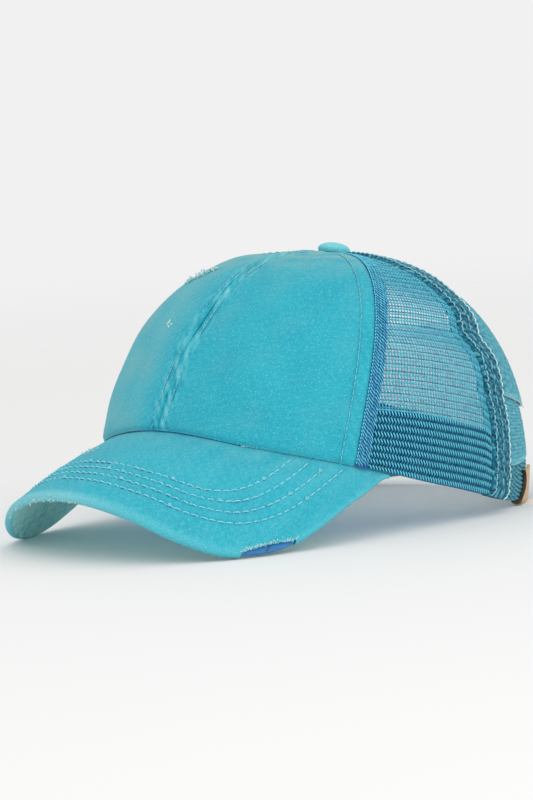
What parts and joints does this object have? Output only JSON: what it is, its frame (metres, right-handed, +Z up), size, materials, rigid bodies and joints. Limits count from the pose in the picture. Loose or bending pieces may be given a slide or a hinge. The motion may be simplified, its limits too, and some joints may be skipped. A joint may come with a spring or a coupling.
{
  "type": "ponytail baseball cap",
  "caption": "Curved-peak baseball cap with cotton front, net sides and an open back for a ponytail, closed by crossing elastic bands and a strap.",
  "frame": {"origin": "on the ground, at the middle of the footprint of the cap at rest on its peak and its back edge", "axes": "+Z up, -Y towards the tip of the peak, +X towards the wearer's left"},
  "size_m": [0.17, 0.2454, 0.1183],
  "materials": {
    "front_cotton": "washed cotton twill",
    "peak_cotton": "washed cotton twill, worn at the rim",
    "net": "knitted net",
    "hem_tape": "folded tape with two rows of stitching",
    "sweatband_cotton": "plain cotton",
    "peak_board": "matt",
    "ribbed_elastic": "ribbed knitted elastic",
    "strap_elastic": "ribbed woven elastic",
    "tab_leather": "smooth with a dark cut edge"
  },
  "bodies": {
    "root": {"front_panel_left": "front_cotton", "front_panel_right": "front_cotton", "net_panel_left": "net", "net_panel_right": "net", "back_hem_left": "hem_tape", "back_hem_right": "hem_tape", "sweatband": "sweatband_cotton", "peak_board": "peak_board", "peak_cover": "peak_cotton", "elastic_band_over": "ribbed_elastic", "elastic_band_under": "ribbed_elastic", "back_strap": "strap_elastic", "leather_tab": "tab_leather", "crown_button": "front_cotton"}
  },
  "joints": []
}
